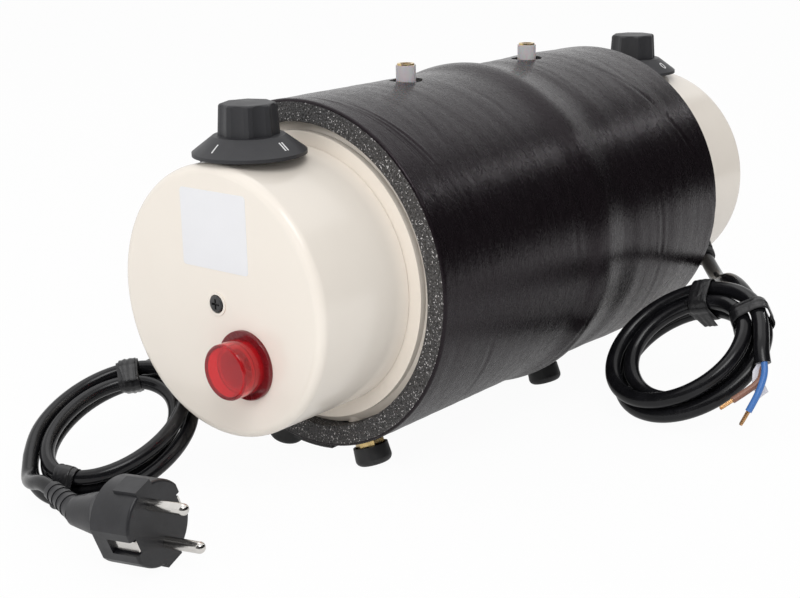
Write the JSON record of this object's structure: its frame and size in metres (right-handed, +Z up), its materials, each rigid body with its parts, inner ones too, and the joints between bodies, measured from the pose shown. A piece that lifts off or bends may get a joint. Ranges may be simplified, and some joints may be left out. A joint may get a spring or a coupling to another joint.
{
  "type": "caravan water heater",
  "caption": "Small horizontal pressureless water heater for a caravan, with two rotary switches, a signal lamp, a plugged mains lead and a low voltage cable.",
  "frame": {"origin": "floor level below the middle of the heater, halfway between the lamp's front and the rear cover's face", "axes": "+X along the tank from the lamp end to the rear end, +Z up through the water pipes"},
  "size_m": [0.4511, 0.2526, 0.1768],
  "materials": {
    "cover_plastic": "satin",
    "tank_plastic": "satin",
    "foam": "satin",
    "tape": "matte",
    "knob_plastic": "matte",
    "lens_plastic": "gloss",
    "white_plastic": "satin",
    "inner_plastic": "matte",
    "bulb_glass": "gloss",
    "brass": "satin",
    "steel": "brushed",
    "black_steel": "satin",
    "nickel": "polished",
    "rubber": "matte",
    "cord_sheath": "gloss",
    "plug_plastic": "satin",
    "blue_insulation": "satin",
    "brown_insulation": "satin",
    "copper": "satin"
  },
  "bodies": {
    "heater": {"tank_front_shell": "tank_plastic", "tank_rear_shell": "tank_plastic", "foam_sleeve": "foam", "sleeve_seam_tape": "tape", "front_cover": "cover_plastic", "rear_cover": "cover_plastic", "front_cover_pillar": "white_plastic", "rear_cover_pillar": "white_plastic", "front_cover_screw": "black_steel", "rear_cover_screw": "black_steel", "front_switch": "inner_plastic", "rear_switch": "inner_plastic", "front_switch_nut": "steel", "rear_switch_nut": "steel", "lamp_lens": "lens_plastic", "lamp_holder": "inner_plastic", "lamp_nut": "inner_plastic", "neon_lamp": "bulb_glass", "inlet_pipe": "white_plastic", "outlet_pipe": "white_plastic", "inlet_support_sleeve": "brass", "outlet_support_sleeve": "brass", "inlet_dip_tube": "white_plastic", "foot_front_right": "rubber", "foot_front_left": "rubber", "foot_rear_right": "rubber", "foot_rear_left": "rubber", "foot_studs": "brass", "foot_nuts": "brass", "mains_heating_element": "steel", "mains_element_gasket": "rubber", "mains_thermostat": "steel", "mains_terminal_block": "white_plastic", "low_voltage_heating_element": "steel", "low_voltage_element_gasket": "rubber", "low_voltage_thermostat": "steel", "low_voltage_terminal_block": "white_plastic", "front_cable_boot": "rubber", "rear_cable_boot": "rubber", "mains_cord_lead": "cord_sheath", "mains_cord_coil": "cord_sheath", "mains_cord_plug_lead": "cord_sheath", "mains_coil_ties": "tape", "plug_body": "plug_plastic", "plug_pins": "nickel", "plug_earth_contacts": "nickel", "plug_strain_relief": "plug_plastic", "low_voltage_cable_lead": "cord_sheath", "low_voltage_cable_coil": "cord_sheath", "low_voltage_cable_end": "cord_sheath", "low_voltage_coil_ties": "tape", "blue_wire": "blue_insulation", "brown_wire": "brown_insulation", "wire_strands": "copper"},
    "front_knob_body": {"front_knob": "knob_plastic", "front_switch_shaft": "steel"},
    "rear_knob_body": {"rear_knob": "knob_plastic", "rear_switch_shaft": "steel"}
  },
  "joints": [
    {"name": "front_knob_turn", "type": "hinge", "parent": "heater", "child": "front_knob_body", "pos_m": [-0.1524, 0, 0.1498], "axis": [0, 0, 1], "range_deg": [-90, 90]},
    {"name": "rear_knob_turn", "type": "hinge", "parent": "heater", "child": "rear_knob_body", "pos_m": [0.1615, 0, 0.1498], "axis": [0, 0, 1], "range_deg": [0, 90]}
  ]
}
